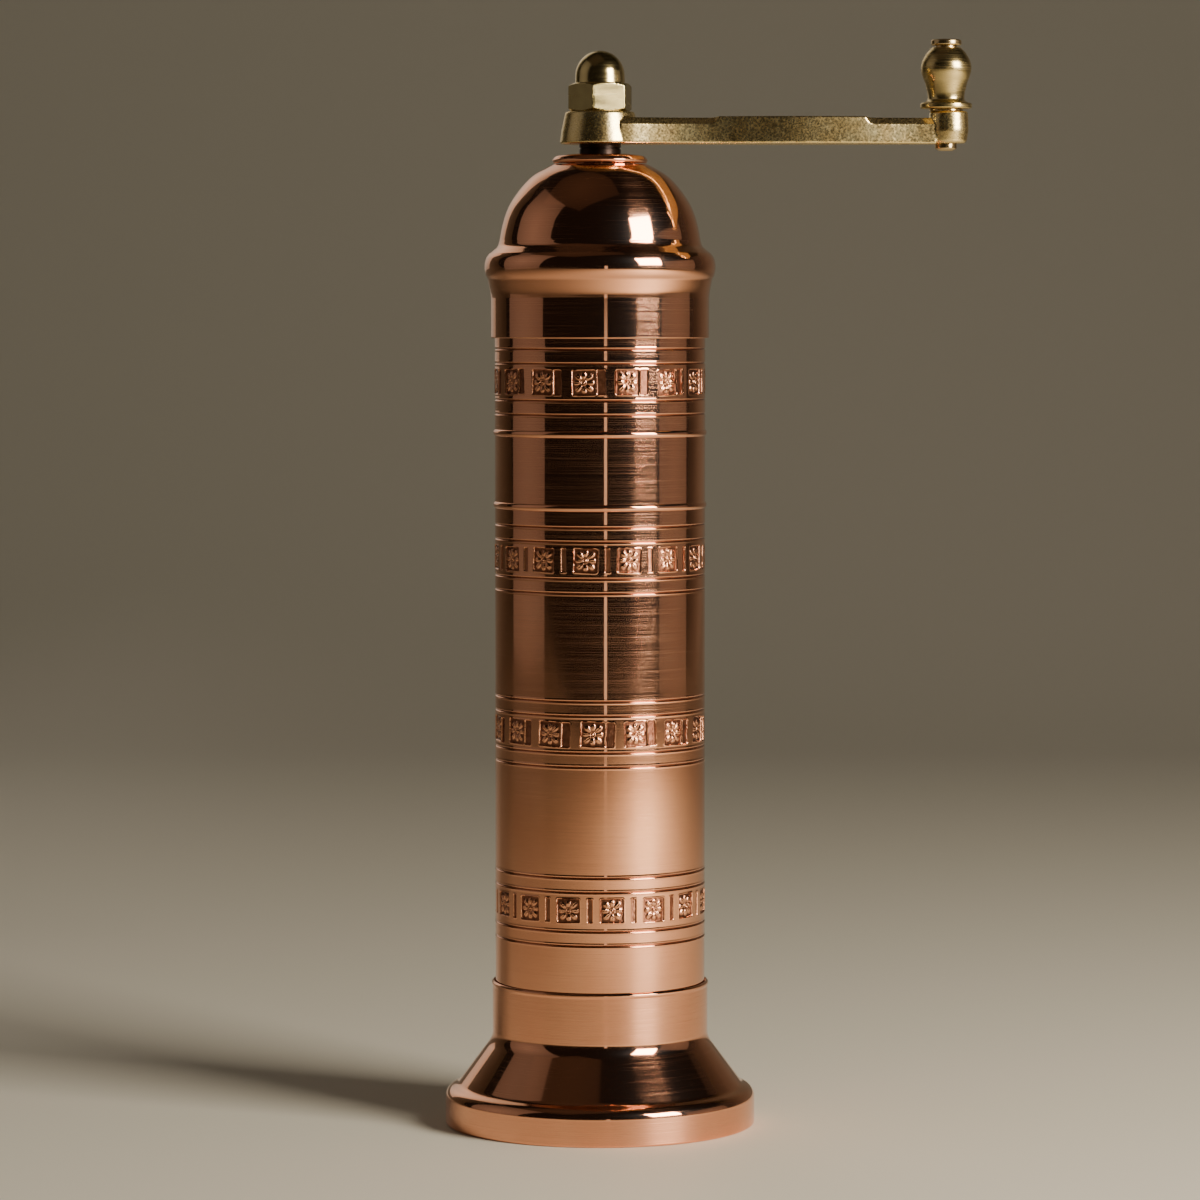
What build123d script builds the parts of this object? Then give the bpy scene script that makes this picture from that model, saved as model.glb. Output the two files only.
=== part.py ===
from build123d import *
from math import cos, pi, radians, sin
import os

# Hand coffee mill: a drawn body tube on a flared foot, a domed lid and a top crank.
# Frame: origin on the mill's axis at the foot's resting face, +Z up, crank along +X.

os.makedirs("parts", exist_ok=True)

# ---- driving dimensions (mm) ----
FIT = 0.05                  # radial clearance of a running or sliding fit
BODY_R = 23.8               # outside of the body tube
BODY_WALL = 0.8
BODY_BOTTOM = 23.55
BODY_TOP = 196.5
SHELL = 0.6                 # sheet of the spun foot
FOOT_R = 35.2               # foot rim
FOOT_TOP = 32.7             # rim of the collar that holds the tube
LID_WALL = 0.8
SKIRT_BOTTOM = 178.5
SKIRT_TOP = 187.7
LID_BEAD_R = 26.1
LID_TOP = 217.75            # flat seat of the bearing bush on the dome
BUSH_TOP = 219.75
SHAFT_R = 4.0
SLEEVE_R = 4.7
CRANK_BOTTOM = 222.1
CRANK_RADIUS = 77.95        # mill axis to knob axis
HUB_TOP = 229.4
NUT_ACROSS_FLATS = 13.0     # M8 domed nut
PIN_R = 2.45

# ---- dimensions worked out from them ----
BODY_BORE = BODY_R - BODY_WALL
COLLAR_R = BODY_R + FIT + SHELL
SKIRT_R = BODY_R + FIT + LID_WALL + 0.01
SOCKET_SIDE = 5.75          # square socket of the rotor
SQUARE_SIDE = 5.6           # square end of the shaft, small enough to pass the guide


def turn(points, axis_x=0.0):
    """Turn a closed (radius, height) outline about the upright axis at x = axis_x."""
    with BuildSketch(Plane(origin=(axis_x, 0, 0), x_dir=(1, 0, 0), z_dir=(0, -1, 0))) as outline:
        with BuildLine():
            Polyline(*points, close=True)
        make_face()
    revolve(outline.sketch, axis=Axis((axis_x, 0, 0), (0, 0, 1)))


def screws(places, shank_r, shank, head_r, head):
    """Round-head screws at the given (x, y) places; shank and head are (low, high) heights."""
    with BuildPart() as group:
        for low, high, radius in ((*shank, shank_r), (*head, head_r)):
            with BuildSketch(Plane.XY.offset(low)):
                with Locations(*places):
                    Circle(radius)
            extrude(amount=high - low)
    return group


def around(radius, angles):
    """Points on a circle about the mill's axis."""
    return [(radius * cos(radians(angle)), radius * sin(radians(angle))) for angle in angles]


# ======================= foot =======================
LIP_R = 31.9                # inner edge of the turned-in lip that the mill stands on
SHOULDER = (FOOT_R, 7.8)
WAIST = (32.4, 9.0)
COLLAR_ROOT = (COLLAR_R, 19.6)
CORNER_FILLETS = (1.0, 2.7, 2.5, 6.0)

with BuildPart() as foot_shell:
    with BuildSketch(Plane.XZ):
        with BuildLine():
            FilletPolyline(
                (LIP_R, 0), (FOOT_R, 0), SHOULDER, WAIST, COLLAR_ROOT, (COLLAR_R, FOOT_TOP),
                radius=CORNER_FILLETS,
            )
            offset(amount=SHELL, side=Side.LEFT, closed=True)
        make_face()
    revolve(axis=Axis.Z)
    top_edges = foot_shell.edges().filter_by(GeomType.CIRCLE).group_by(Axis.Z)[-1]
    fillet(top_edges.sort_by(SortBy.RADIUS)[-1], radius=0.4)

# The plate lies on the lip, and its pressed centre comes down flush with it.
PLATE_R = 34.1
PLATE_TOP = 1.6
PRESSED_R = LIP_R - 0.2
with BuildPart() as base_plate:
    turn([
        (0, 0), (PRESSED_R, 0), (PRESSED_R, SHELL), (PLATE_R, SHELL), (PLATE_R, PLATE_TOP),
        (0, PLATE_TOP),
    ])

SEAT_TOP = 23.5
SEAT_THICK = 1.8
SEAT_BORE = 21.5
with BuildPart() as seat_ring:
    turn([
        (SEAT_BORE, SEAT_TOP - SEAT_THICK), (BODY_R + FIT, SEAT_TOP - SEAT_THICK),
        (BODY_R + FIT, SEAT_TOP), (SEAT_BORE, SEAT_TOP),
    ])

# ======================= body tube =======================
# Four engraved bands, each between two pairs of rolled grooves, and two raised beads.
BAND_CENTRES = (51.1, 90.5, 129.3, 168.8)
GROOVE_OFFSETS = (-7.4, -4.2, 4.0, 7.3)
LOWEST_DROP = 0.55          # the lowest band's two lower grooves sit this much further down
BEADS = (140.9, 157.2)
GROOVE_R = 0.45
GROOVE_DEPTH = 0.3
BEAD_R = 0.65
BEAD_PROUD = 0.32

with BuildPart() as body_tube:
    with BuildSketch(Plane.XY.offset(BODY_BOTTOM)):
        Circle(BODY_R)
    extrude(amount=BODY_TOP - BODY_BOTTOM)
    with BuildSketch(Plane.XZ):
        with Locations(*[(BODY_R - BEAD_R + BEAD_PROUD, height) for height in BEADS]):
            Circle(BEAD_R)
    revolve(axis=Axis.Z)
    with BuildSketch(Plane.XZ):
        for centre in BAND_CENTRES:
            drop = LOWEST_DROP if centre == BAND_CENTRES[0] else 0
            heights = [centre + up - (drop if up < 0 else 0) for up in GROOVE_OFFSETS]
            with Locations(*[(BODY_R + GROOVE_R - GROOVE_DEPTH, height) for height in heights]):
                Circle(GROOVE_R)
    revolve(axis=Axis.Z, mode=Mode.SUBTRACT)
    with BuildSketch(Plane.XY.offset(BODY_BOTTOM)):
        Circle(BODY_BORE)
    extrude(amount=BODY_TOP - BODY_BOTTOM, mode=Mode.SUBTRACT)

# ======================= burr carrier =======================
CARRIER_BOTTOM = 53.5
CARRIER_TOP = 75.5
CARRIER_RELIEF = (21.8, 61.5)   # radius and top of the part that clears the tube
CARRIER_LAND = 62.5             # where the pressed fit in the tube begins
FUNNEL_TOP_R = 19.5
THROAT_R = 12.6
STATOR_R = 15.0
THROAT_TOP = 66.3
STATOR_TOP = 65.5
POST_R = 2.6
STUD_R = 1.5
STUD_DEPTH = 6.0
POST_PLACES = around(18.6, (0, 180))
STATOR_SCREW_PLACES = around(17.4, (90, 210, 330))
STATOR_SCREW_HEAD = (2.9, 1.8)   # radius and height
GUIDE_SCREW_PLACES = around(20.8, (30, 150, 270))
GUIDE_SCREW_R = 1.25
GUIDE_SCREW_DEPTH = 6.0

with BuildPart() as burr_carrier:
    turn([
        (STATOR_R, CARRIER_BOTTOM), (CARRIER_RELIEF[0], CARRIER_BOTTOM), CARRIER_RELIEF,
        (BODY_BORE, CARRIER_LAND), (BODY_BORE, CARRIER_TOP), (FUNNEL_TOP_R, CARRIER_TOP),
        (THROAT_R, THROAT_TOP), (THROAT_R, STATOR_TOP), (STATOR_R, STATOR_TOP),
    ])
    with BuildSketch(Plane.XY.offset(CARRIER_BOTTOM)):
        with Locations(*POST_PLACES, *STATOR_SCREW_PLACES):
            Circle(STUD_R)
    extrude(amount=STUD_DEPTH, mode=Mode.SUBTRACT)
    with BuildSketch(Plane.XY.offset(CARRIER_TOP)):
        with Locations(*GUIDE_SCREW_PLACES):
            Circle(GUIDE_SCREW_R)
    extrude(amount=-GUIDE_SCREW_DEPTH, mode=Mode.SUBTRACT)

# ======================= burrs =======================
STATOR_TEETH = 30
STATOR_MOUTH_R = 11.9
STATOR_WAIST = (11.3, 58.5)
STATOR_TOOTH = (11.0, 12.9, 0.62)   # inner and outer radius and half width of one cut
with BuildPart() as stator_burr:
    turn([
        (STATOR_R, CARRIER_BOTTOM), (STATOR_R, STATOR_TOP), (STATOR_MOUTH_R, STATOR_TOP),
        STATOR_WAIST, (STATOR_MOUTH_R, CARRIER_BOTTOM),
    ])
    near, far, half = STATOR_TOOTH
    with BuildSketch(Plane.XY.offset(CARRIER_BOTTOM)):
        with PolarLocations(0, STATOR_TEETH):
            Polygon((near, -half), (far, 0), (near, half), align=None)
    extrude(amount=STATOR_TOP - CARRIER_BOTTOM, mode=Mode.SUBTRACT)

# The rotor is a fluted cone: star sections, each turned a little from the one below.
ROTOR_TEETH = 9
ROTOR_TWIST = 12.0          # degrees from one section to the next
ROTOR_LEAN = 0.62           # where a root lies between its two tips
ROTOR_SECTIONS = ((53.5, 11.0, 9.8), (58.5, 9.7, 8.1), (63.5, 8.2, 6.6), (67.5, 6.9, 5.8))
ROTOR_TOP = 69.5
ROTOR_HUB_R = 5.6
STUB_R = 3.0
STUB_BOTTOM = 48.55
SOCKET_BOTTOM = 55.5

with BuildPart() as rotor_burr:
    for step, (height, tip_r, root_r) in enumerate(ROTOR_SECTIONS):
        start = step * ROTOR_TWIST
        pitch = 360.0 / ROTOR_TEETH
        tips = around(tip_r, [start + tooth * pitch for tooth in range(ROTOR_TEETH)])
        roots = around(root_r, [start + (tooth + ROTOR_LEAN) * pitch for tooth in range(ROTOR_TEETH)])
        corners = [corner for pair in zip(tips, roots) for corner in pair]
        with BuildSketch(Plane.XY.offset(height)):
            with BuildLine():
                Polyline(*corners, close=True)
            make_face()
    loft(ruled=True)
    hub_bottom = ROTOR_SECTIONS[-1][0]
    lengths = ((STUB_BOTTOM, CARRIER_BOTTOM, STUB_R), (hub_bottom, ROTOR_TOP, ROTOR_HUB_R))
    for bottom, top, radius in lengths:
        with BuildSketch(Plane.XY.offset(bottom)):
            Circle(radius)
        extrude(amount=top - bottom)
    with BuildSketch(Plane.XY.offset(SOCKET_BOTTOM)):
        Rectangle(SOCKET_SIDE, SOCKET_SIDE)
    extrude(amount=ROTOR_TOP - SOCKET_BOTTOM, mode=Mode.SUBTRACT)

stator_screws = screws(
    STATOR_SCREW_PLACES, STUD_R, (CARRIER_BOTTOM, CARRIER_BOTTOM + STUD_DEPTH),
    STATOR_SCREW_HEAD[0], (CARRIER_BOTTOM - STATOR_SCREW_HEAD[1], CARRIER_BOTTOM),
)

# ======================= lower bearing bridge and grind adjustment =======================
BRIDGE_BOTTOM = 39.5
BRIDGE_TOP = 43.5
BRIDGE_LENGTH = 43.0
BRIDGE_WIDTH = 9.0
BRIDGE_EYE_R = 6.5
BRIDGE_SCREW_TOP = 49.5
BRIDGE_SCREW_HEAD = (2.6, 1.6)   # radius and height
ADJUST_R = 3.0              # M6 adjusting screw
WHEEL_R = 9.0
WHEEL_BOTTOM = 28.5
WHEEL_TOP = 33.0
SCREW_INSET = 0.4           # the screw's foot sits this far up in the wheel
SCREW_CHAMFER = 0.6
LOCK_NUT_R = 5.0            # half of the distance across its flats
LOCK_NUT_HEIGHT = 3.4
KNURLS = 36
KNURL_R = 0.45
PAD_BOTTOM = 44.5
PAD_TOP = 51.5
PAD_R = 5.5
BALL_R = 1.5
PAD_FLOOR = 45.5

with BuildPart() as bridge_posts:
    with BuildSketch(Plane.XY.offset(BRIDGE_TOP)):
        with Locations(*POST_PLACES):
            Circle(POST_R)
    extrude(amount=CARRIER_BOTTOM - BRIDGE_TOP)
    with BuildSketch(Plane.XY.offset(CARRIER_BOTTOM)):
        with Locations(*POST_PLACES):
            Circle(STUD_R)
    extrude(amount=STUD_DEPTH)
    with BuildSketch(Plane.XY.offset(BRIDGE_TOP)):
        with Locations(*POST_PLACES):
            Circle(STUD_R)
    extrude(amount=BRIDGE_SCREW_TOP - BRIDGE_TOP, mode=Mode.SUBTRACT)

with BuildPart() as bearing_bridge:
    with BuildSketch(Plane.XY.offset(BRIDGE_BOTTOM)):
        SlotOverall(BRIDGE_LENGTH, BRIDGE_WIDTH)
        Circle(BRIDGE_EYE_R)
        Circle(ADJUST_R + FIT, mode=Mode.SUBTRACT)
        with Locations(*POST_PLACES):
            Circle(STUD_R, mode=Mode.SUBTRACT)
    extrude(amount=BRIDGE_TOP - BRIDGE_BOTTOM)

bridge_screws = screws(
    POST_PLACES, STUD_R, (BRIDGE_BOTTOM, BRIDGE_SCREW_TOP),
    BRIDGE_SCREW_HEAD[0], (BRIDGE_BOTTOM - BRIDGE_SCREW_HEAD[1], BRIDGE_BOTTOM),
)

with BuildPart() as lock_nut:
    with BuildSketch(Plane.XY.offset(BRIDGE_BOTTOM - LOCK_NUT_HEIGHT)):
        RegularPolygon(radius=LOCK_NUT_R, side_count=6, major_radius=False)
        Circle(ADJUST_R + FIT, mode=Mode.SUBTRACT)
    extrude(amount=LOCK_NUT_HEIGHT)

with BuildPart() as adjust_screw:
    turn([
        (0, WHEEL_BOTTOM + SCREW_INSET), (ADJUST_R, WHEEL_BOTTOM + SCREW_INSET),
        (ADJUST_R, PAD_BOTTOM - SCREW_CHAMFER), (ADJUST_R - SCREW_CHAMFER, PAD_BOTTOM - FIT),
        (0, PAD_BOTTOM - FIT),
    ])

with BuildPart() as adjust_wheel:
    with BuildSketch(Plane.XY.offset(WHEEL_BOTTOM)):
        Circle(WHEEL_R)
        Circle(ADJUST_R, mode=Mode.SUBTRACT)
        with PolarLocations(WHEEL_R + KNURL_R / 4, KNURLS):
            Circle(KNURL_R, mode=Mode.SUBTRACT)
    extrude(amount=WHEEL_TOP - WHEEL_BOTTOM)

with BuildPart() as thrust_pad:
    turn([
        (0, PAD_BOTTOM), (PAD_R, PAD_BOTTOM), (PAD_R, PAD_TOP), (STUB_R + FIT, PAD_TOP),
        (STUB_R + FIT, PAD_FLOOR), (0, PAD_FLOOR),
    ])

with BuildPart() as thrust_ball:
    with Locations((0, 0, PAD_FLOOR + BALL_R)):
        Sphere(BALL_R)

# ======================= upper shaft guide =======================
GUIDE_BOTTOM = CARRIER_TOP
GUIDE_TOP = 78.0
GUIDE_RING_R = 19.4
GUIDE_HUB_R = 6.5
GUIDE_HUB = (74.0, 80.0)
ARM_ANGLES = (30, 150, 270)
GUIDE_ARM_WIDTH = 4.0
GUIDE_SCREW_HEAD = (2.0, 1.6)   # radius and height

with BuildPart() as shaft_guide:
    with BuildSketch(Plane.XY.offset(GUIDE_BOTTOM)):
        Circle(BODY_BORE - FIT)
        Circle(GUIDE_RING_R, mode=Mode.SUBTRACT)
        for angle in ARM_ANGLES:
            with Locations(*around(GUIDE_RING_R / 2, [angle])):
                Rectangle(GUIDE_RING_R + 1, GUIDE_ARM_WIDTH, rotation=angle)
        with Locations(*GUIDE_SCREW_PLACES):
            Circle(GUIDE_SCREW_R, mode=Mode.SUBTRACT)
    extrude(amount=GUIDE_TOP - GUIDE_BOTTOM)
    with BuildSketch(Plane.XY.offset(GUIDE_HUB[0])):
        Circle(GUIDE_HUB_R)
    extrude(amount=GUIDE_HUB[1] - GUIDE_HUB[0])
    with BuildSketch(Plane.XY.offset(GUIDE_HUB[0])):
        Circle(SHAFT_R + FIT)
    extrude(amount=GUIDE_HUB[1] - GUIDE_HUB[0], mode=Mode.SUBTRACT)

guide_screws = screws(
    GUIDE_SCREW_PLACES, GUIDE_SCREW_R, (CARRIER_TOP - GUIDE_SCREW_DEPTH, GUIDE_TOP),
    GUIDE_SCREW_HEAD[0], (GUIDE_TOP, GUIDE_TOP + GUIDE_SCREW_HEAD[1]),
)

# ======================= lid =======================
BEAD_FOOT = (25.4, 191.7)
BEAD_MIDDLE = (LID_BEAD_R, 194.5)
BEAD_HEAD = (24.9, 197.7)
DOME_FOOT = (22.75, 200.3)
DOME_SIDE = (19.6, 210.1)
DOME_EDGE = (10.9, LID_TOP)
BUSH_SHANK_R = 7.0
BUSH_FLANGE_R = 10.8
BUSH_FACE_R = 7.9
BUSH_RIM = 0.45             # height of the flange's edge
BUSH_BOTTOM = 209.5
BUSH_NUT_BOTTOM = 212.5
BUSH_NUT_R = 8.5            # half of the distance across its flats

with BuildPart() as lid_dome:
    with BuildSketch(Plane.XZ):
        with BuildLine():
            Line((SKIRT_R, SKIRT_BOTTOM), (SKIRT_R, SKIRT_TOP))
            TangentArc((SKIRT_R, SKIRT_TOP), BEAD_FOOT, tangent=(0, 1))
            ThreePointArc(BEAD_FOOT, BEAD_MIDDLE, BEAD_HEAD)
            TangentArc(BEAD_HEAD, DOME_FOOT, tangent=(-1, 0.45))
            ThreePointArc(DOME_FOOT, DOME_SIDE, DOME_EDGE)
            Line(DOME_EDGE, (BUSH_SHANK_R, LID_TOP))
            offset(amount=LID_WALL, side=Side.LEFT, closed=True)
        make_face()
    revolve(axis=Axis.Z)

with BuildPart() as bearing_bush:
    with BuildSketch(Plane.XZ):
        with BuildLine():
            Polyline(
                (BUSH_FACE_R, BUSH_TOP), (SLEEVE_R + FIT, BUSH_TOP), (SLEEVE_R + FIT, BUSH_BOTTOM),
                (BUSH_SHANK_R, BUSH_BOTTOM), (BUSH_SHANK_R, LID_TOP), (BUSH_FLANGE_R, LID_TOP),
                (BUSH_FLANGE_R, LID_TOP + BUSH_RIM),
            )
            TangentArc((BUSH_FACE_R, BUSH_TOP), (BUSH_FLANGE_R, LID_TOP + BUSH_RIM), tangent=(1, -0.1))
        make_face()
    revolve(axis=Axis.Z)

with BuildPart() as bush_nut:
    with BuildSketch(Plane.XY.offset(BUSH_NUT_BOTTOM)):
        RegularPolygon(radius=BUSH_NUT_R, side_count=6, major_radius=False)
        Circle(BUSH_SHANK_R, mode=Mode.SUBTRACT)
    extrude(amount=LID_TOP - LID_WALL - BUSH_NUT_BOTTOM)

# ======================= drive shaft =======================
SQUARE_BOTTOM = 56.5
SQUARE_TOP = 83.5
DOUBLE_D = 6.6              # across the flats under the crank
THREAD_R = 3.9
THREAD_TOP = 238.0
SLEEVE_BOTTOM = 204.5
SLEEVE_FLANGE_R = 7.0
SLEEVE_FLANGE_TOP = 209.2
CROSS_PIN_R = 1.0
CROSS_PIN_SINK = 0.2        # each end lies this far below the sleeve's skin
CROSS_PIN_Z = 206.8
CROSS_PIN = Plane(origin=(0, 0, CROSS_PIN_Z), x_dir=(0, 1, 0), z_dir=(1, 0, 0))

with BuildPart() as drive_shaft:
    with BuildSketch(Plane.XY.offset(SQUARE_BOTTOM)):
        Rectangle(SQUARE_SIDE, SQUARE_SIDE)
    extrude(amount=SQUARE_TOP - SQUARE_BOTTOM)
    with BuildSketch(Plane.XY.offset(SQUARE_TOP)):
        Circle(SHAFT_R)
    extrude(amount=CRANK_BOTTOM - SQUARE_TOP)
    with BuildSketch(Plane.XY.offset(CRANK_BOTTOM)):
        Circle(SHAFT_R)
        Rectangle(DOUBLE_D, 2 * SHAFT_R, mode=Mode.INTERSECT)
    extrude(amount=HUB_TOP - CRANK_BOTTOM)
    with BuildSketch(Plane.XY.offset(HUB_TOP)):
        Circle(THREAD_R)
        Rectangle(DOUBLE_D, 2 * THREAD_R, mode=Mode.INTERSECT)
    extrude(amount=THREAD_TOP - HUB_TOP)
    with BuildSketch(CROSS_PIN):
        Circle(CROSS_PIN_R)
    extrude(amount=SLEEVE_FLANGE_R, both=True, mode=Mode.SUBTRACT)

with BuildPart() as shaft_collar:
    turn([
        (SHAFT_R, SLEEVE_BOTTOM), (SLEEVE_FLANGE_R, SLEEVE_BOTTOM), (SLEEVE_FLANGE_R, SLEEVE_FLANGE_TOP),
        (SLEEVE_R, SLEEVE_FLANGE_TOP), (SLEEVE_R, CRANK_BOTTOM), (SHAFT_R, CRANK_BOTTOM),
    ])
    with BuildSketch(CROSS_PIN):
        Circle(CROSS_PIN_R)
    extrude(amount=SLEEVE_FLANGE_R, both=True, mode=Mode.SUBTRACT)

with BuildPart() as collar_pin:
    with BuildSketch(CROSS_PIN):
        Circle(CROSS_PIN_R)
    extrude(amount=SLEEVE_FLANGE_R - CROSS_PIN_SINK, both=True)

# ======================= crank =======================
HUB_R = 9.1
HUB_TOP_R = 7.8
ARM_BOTTOM = CRANK_BOTTOM + 0.1   # the arm is drawn in a little from the hub's lower face
ARM_HEIGHT = 5.6
ARM_CHAMFER = 1.1
ARM_CHAMFER_SIDE = 0.66
PAD_RISE = 0.3              # raised plain stretch in the middle of the arm
PAD_START = 26.0
PAD_END = 60.0
BOSS_R = 4.5
BOSS_X = CRANK_RADIUS + 0.6     # the cast boss runs out a little past the pin
BOSS_TOP = 229.5
ARM_SIDE = ((5.0, 7.0), (12.0, 5.9), (25.0, 4.5), (44.0, 6.0), (62.0, 4.9), (CRANK_RADIUS - 2.8, 3.2))


def arm_plan():
    """Half of the arm's plan, drawn in the current sketch, and its mirror image."""
    with BuildLine() as side:
        Spline(*ARM_SIDE)
        Polyline(ARM_SIDE[0], (ARM_SIDE[0][0], 0), (ARM_SIDE[-1][0], 0), ARM_SIDE[-1])
    half = make_face(side.edges())
    mirror(half, about=Plane.XZ)


with BuildPart() as crank_arm:
    with BuildSketch(Plane.XY.offset(ARM_BOTTOM)):
        arm_plan()
    extrude(amount=ARM_HEIGHT)
    long_edges = crank_arm.faces().sort_by(Axis.Z)[-1].edges().filter_by(GeomType.BSPLINE)
    chamfer(long_edges, length=ARM_CHAMFER, length2=ARM_CHAMFER_SIDE)
    with BuildSketch(Plane.XY.offset(ARM_BOTTOM)):
        arm_plan()
        with Locations(((PAD_START + PAD_END) / 2, 0)):
            Rectangle(PAD_END - PAD_START, 4 * HUB_R, mode=Mode.INTERSECT)
    extrude(amount=ARM_HEIGHT + PAD_RISE)
    with BuildSketch(Plane.XZ):
        with BuildLine():
            Polyline(
                (0, CRANK_BOTTOM), (HUB_R, CRANK_BOTTOM), (HUB_TOP_R, HUB_TOP), (0, HUB_TOP), close=True,
            )
        make_face()
    revolve(axis=Axis.Z)
    with BuildSketch(Plane.XY.offset(ARM_BOTTOM)):
        with Locations((BOSS_X, 0)):
            Circle(BOSS_R)
    extrude(amount=BOSS_TOP - ARM_BOTTOM)
    with BuildSketch(Plane.XY.offset(CRANK_BOTTOM)):
        Circle(SHAFT_R)
        Rectangle(DOUBLE_D, 2 * SHAFT_R, mode=Mode.INTERSECT)
    extrude(amount=HUB_TOP - CRANK_BOTTOM, mode=Mode.SUBTRACT)
    with BuildSketch(Plane.XY.offset(CRANK_BOTTOM)):
        with Locations((CRANK_RADIUS, 0)):
            Circle(PIN_R)
    extrude(amount=BOSS_TOP - CRANK_BOTTOM, mode=Mode.SUBTRACT)

# ======================= domed nut =======================
HEX_TOP = 235.7
NUT_FACE_R = 6.4            # radius at which the hexagon's chamfers start
NUT_CHAMFER = 0.6
NUT_DOME_R = 5.6
NUT_DOME_FOOT = HEX_TOP + 1.9
NUT_TURN = 17.7             # one corner of the hexagon, degrees from the crank
NUT_CORNER_R = NUT_ACROSS_FLATS / 2 / cos(pi / 6)
NUT_HOLE_TOP = 238.5

with BuildPart() as acorn_nut:
    with BuildSketch(Plane.XY.offset(HUB_TOP)):
        RegularPolygon(radius=NUT_CORNER_R, side_count=6, rotation=NUT_TURN)
    extrude(amount=HEX_TOP - HUB_TOP)
    with BuildSketch(Plane.XZ):
        with BuildLine():
            Polyline(
                (0, HUB_TOP), (NUT_FACE_R, HUB_TOP), (NUT_CORNER_R, HUB_TOP + NUT_CHAMFER),
                (NUT_CORNER_R, HEX_TOP - NUT_CHAMFER), (NUT_FACE_R, HEX_TOP), (0, HEX_TOP), close=True,
            )
        make_face()
    revolve(axis=Axis.Z, mode=Mode.INTERSECT)
    with BuildSketch(Plane.XZ):
        with BuildLine():
            Polyline(
                (0, NUT_DOME_FOOT + NUT_DOME_R), (0, HEX_TOP), (NUT_DOME_R, HEX_TOP),
                (NUT_DOME_R, NUT_DOME_FOOT),
            )
            JernArc((NUT_DOME_R, NUT_DOME_FOOT), (0, 1), NUT_DOME_R, 90)
        make_face()
    revolve(axis=Axis.Z)
    with BuildSketch(Plane.XY.offset(HUB_TOP)):
        Circle(THREAD_R)
    extrude(amount=NUT_HOLE_TOP - HUB_TOP, mode=Mode.SUBTRACT)

# ======================= knob =======================
KNOB_BOTTOM = 230.05
FLANGE_R = 5.85
FLANGE_EDGE = 0.28
FLANGE_TOP = 231.3
KNOB_TOP = 243.75
KNOB_TOP_R = 3.3
KNOB_CURVE = ((4.15, 232.6), (4.75, 235.6), (5.72, 239.0), (4.8, 242.0))
WASHER_R = 3.8
WASHER_THICK = 0.45
HEAD_R = 3.45
HEAD_BOTTOM = 244.2
HEAD_TOP = 245.7
HEAD_EDGE = (0.7, 0.5)      # width and height of the head's rounded edge
HEAD_DOME = 0.1
PIN_BOTTOM = 220.6
PIN_CHAMFER = 0.5
KNOB_AXIS = Plane(origin=(CRANK_RADIUS, 0, 0), x_dir=(1, 0, 0), z_dir=(0, -1, 0))

with BuildPart() as knob:
    with BuildSketch(KNOB_AXIS):
        with BuildLine():
            Polyline(
                (KNOB_TOP_R, KNOB_TOP), (PIN_R + FIT, KNOB_TOP), (PIN_R + FIT, KNOB_BOTTOM),
                (FLANGE_R - FLANGE_EDGE, KNOB_BOTTOM), (FLANGE_R, KNOB_BOTTOM + FLANGE_EDGE),
                (FLANGE_R, FLANGE_TOP - FLANGE_EDGE), (FLANGE_R - FLANGE_EDGE, FLANGE_TOP),
            )
            Spline((FLANGE_R - FLANGE_EDGE, FLANGE_TOP), *KNOB_CURVE, (KNOB_TOP_R, KNOB_TOP))
        make_face()
    revolve(axis=Axis((CRANK_RADIUS, 0, 0), (0, 0, 1)))

with BuildPart() as knob_washer:
    turn([
        (PIN_R, BOSS_TOP), (WASHER_R, BOSS_TOP), (WASHER_R, BOSS_TOP + WASHER_THICK),
        (PIN_R, BOSS_TOP + WASHER_THICK),
    ], CRANK_RADIUS)

with BuildPart() as knob_pin:
    turn([
        (0, PIN_BOTTOM), (PIN_R - PIN_CHAMFER, PIN_BOTTOM), (PIN_R, PIN_BOTTOM + PIN_CHAMFER),
        (PIN_R, HEAD_BOTTOM), (HEAD_R, HEAD_BOTTOM), (HEAD_R, HEAD_TOP - HEAD_EDGE[1]),
        (HEAD_R - HEAD_EDGE[0], HEAD_TOP - HEAD_DOME), (0, HEAD_TOP),
    ], CRANK_RADIUS)

# ======================= files =======================
PIECES = {
    "foot_shell": foot_shell,
    "base_plate": base_plate,
    "seat_ring": seat_ring,
    "body_tube": body_tube,
    "burr_carrier": burr_carrier,
    "stator_burr": stator_burr,
    "stator_screws": stator_screws,
    "rotor_burr": rotor_burr,
    "bridge_posts": bridge_posts,
    "bearing_bridge": bearing_bridge,
    "bridge_screws": bridge_screws,
    "lock_nut": lock_nut,
    "adjust_screw": adjust_screw,
    "adjust_wheel": adjust_wheel,
    "thrust_pad": thrust_pad,
    "thrust_ball": thrust_ball,
    "shaft_guide": shaft_guide,
    "guide_screws": guide_screws,
    "lid_dome": lid_dome,
    "bearing_bush": bearing_bush,
    "bush_nut": bush_nut,
    "drive_shaft": drive_shaft,
    "shaft_collar": shaft_collar,
    "collar_pin": collar_pin,
    "crank_arm": crank_arm,
    "acorn_nut": acorn_nut,
    "knob": knob,
    "knob_washer": knob_washer,
    "knob_pin": knob_pin,
}
for name, piece in PIECES.items():
    piece.part.label = name
    export_step(piece.part, f"parts/{name}.step")
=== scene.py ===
import math

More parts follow.
